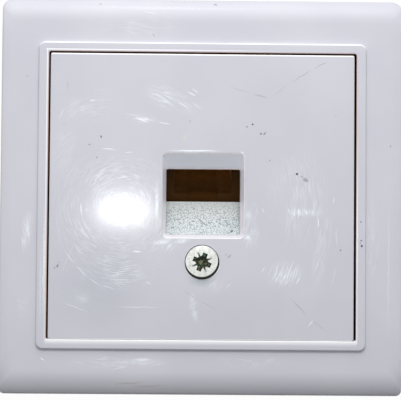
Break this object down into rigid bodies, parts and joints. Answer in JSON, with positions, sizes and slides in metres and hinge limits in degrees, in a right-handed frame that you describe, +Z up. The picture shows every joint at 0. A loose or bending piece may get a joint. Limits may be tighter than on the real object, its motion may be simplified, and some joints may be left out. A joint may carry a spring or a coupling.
{
  "type": "surface ethernet socket",
  "caption": "White one-gang surface data socket with a raised square ledge, a flat centre plate, an angled jack behind one aperture, and a surface box.",
  "frame": {"origin": "centre of the surface box's back, on the wall's plane", "axes": "+Y into the wall, so the front faces -Y; +Z up; +X to the right as seen from the front"},
  "size_m": [0.0824, 0.0482, 0.0812],
  "materials": {
    "frame_white": "smooth, slightly worn",
    "plate_white": "glossy, finely scratched",
    "box_white": "fine matt moulding",
    "screw_zinc": "bright zinc plating",
    "sheet_steel": "galvanised, fine bright grain",
    "jack_brown": "dark brown, matt",
    "contact_gold": "thin gold plating",
    "board_green": "solder mask over laminate",
    "block_ivory": "satin",
    "carrier_grey": "matt"
  },
  "bodies": {
    "root": {"surface_box": "box_white", "box_screws": "screw_zinc", "mounting_plate": "sheet_steel", "cover_frame": "frame_white", "centre_plate": "plate_white", "plate_screw": "screw_zinc", "jack_housing": "jack_brown", "contact_holder": "jack_brown", "contact_1": "contact_gold", "contact_2": "contact_gold", "contact_3": "contact_gold", "contact_4": "contact_gold", "contact_5": "contact_gold", "contact_6": "contact_gold", "contact_7": "contact_gold", "contact_8": "contact_gold", "circuit_board": "board_green", "terminal_block_left": "block_ivory", "terminal_block_right": "block_ivory", "terminal_1": "contact_gold", "terminal_2": "contact_gold", "terminal_3": "contact_gold", "terminal_4": "contact_gold", "terminal_5": "contact_gold", "terminal_6": "contact_gold", "terminal_7": "contact_gold", "terminal_8": "contact_gold", "carrier": "carrier_grey", "carrier_screws": "screw_zinc", "cable_clamp": "block_ivory", "clamp_screws": "screw_zinc"}
  },
  "joints": []
}
